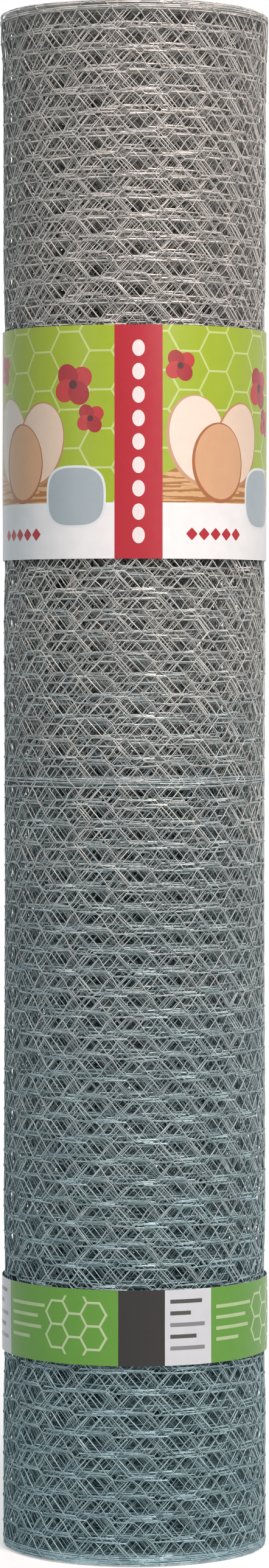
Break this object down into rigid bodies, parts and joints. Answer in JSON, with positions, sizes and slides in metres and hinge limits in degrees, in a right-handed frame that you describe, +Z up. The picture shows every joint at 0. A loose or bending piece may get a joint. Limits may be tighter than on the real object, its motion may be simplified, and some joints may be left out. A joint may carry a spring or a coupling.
{
  "type": "roll of hexagonal wire netting",
  "caption": "Standing roll of galvanised hexagonal wire netting with an open bore, held by printed paper bands.",
  "frame": {"origin": "centre of the bore at the level of the lowest turns, where the roll stands on the floor", "axes": "+Z up along the roll's axis, -Y towards the front of the printed bands, the lapped ends of the bands at +Y"},
  "size_m": [0.1769, 0.177, 1.0059],
  "materials": {
    "galvanised_wire": "galvanised, satin",
    "upper_band_paper": "coated print paper, gloss",
    "lower_band_paper": "coated print paper, gloss"
  },
  "bodies": {
    "root": {"netting_roll": "galvanised_wire", "upper_paper_band": "upper_band_paper", "lower_paper_band": "lower_band_paper"}
  },
  "joints": []
}
